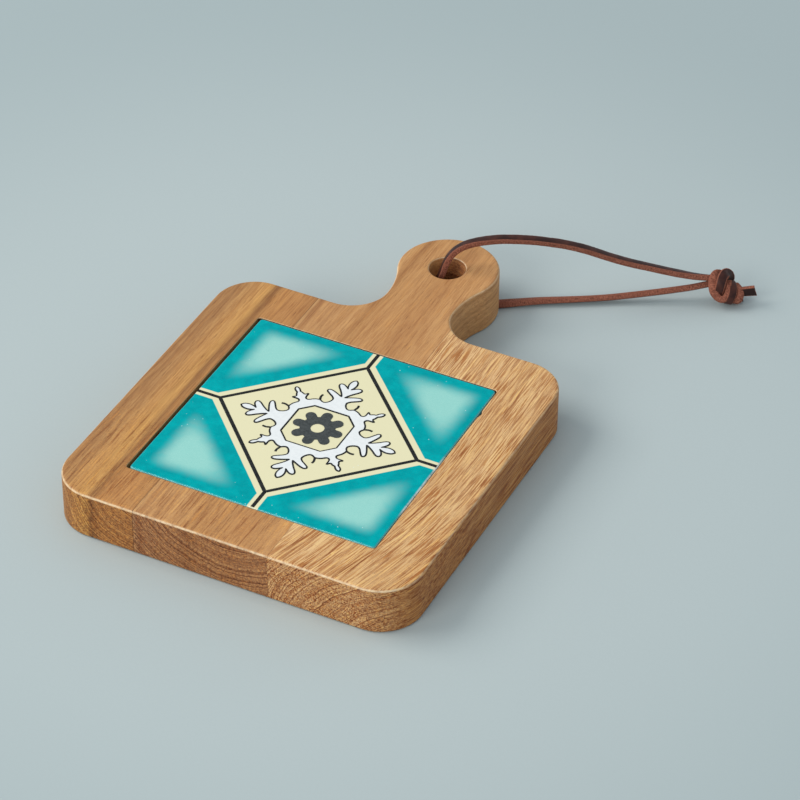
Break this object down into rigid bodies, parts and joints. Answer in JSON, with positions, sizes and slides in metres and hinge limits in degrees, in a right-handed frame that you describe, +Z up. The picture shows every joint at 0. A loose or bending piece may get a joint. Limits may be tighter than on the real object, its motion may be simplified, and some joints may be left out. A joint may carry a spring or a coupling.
{
  "type": "trivet",
  "caption": "Square wooden trivet with a round handle, an inlaid glazed tile for hot pots and a knotted leather hanging loop.",
  "frame": {"origin": "under the middle of the wooden board, handle included, on its flat underside", "axes": "+X across the board to the right, +Y along the board towards the handle, +Z up out of the tile's face"},
  "size_m": [0.1827, 0.2483, 0.0339],
  "materials": {
    "wood_left": "oiled hardwood, mid brown with a grey-brown edge, long grain towards the handle",
    "wood_middle": "oiled hardwood, golden brown with soft darker bands, long grain towards the handle",
    "wood_right": "oiled hardwood, pale golden with short dark pore streaks, long grain towards the handle",
    "tile_glaze": "glossy teal, mint and cream glaze with slightly raised dark outlines",
    "adhesive": "cured silicone, satin",
    "lace_leather": "dark brown smooth grain side, red-brown suede sides and back"
  },
  "bodies": {
    "root": {"stave_left": "wood_left", "stave_middle": "wood_middle", "stave_right": "wood_right", "tile": "tile_glaze", "tile_adhesive": "adhesive", "lace_upper_leg": "lace_leather", "lace_lower_leg": "lace_leather", "lace_knot": "lace_leather"}
  },
  "joints": []
}
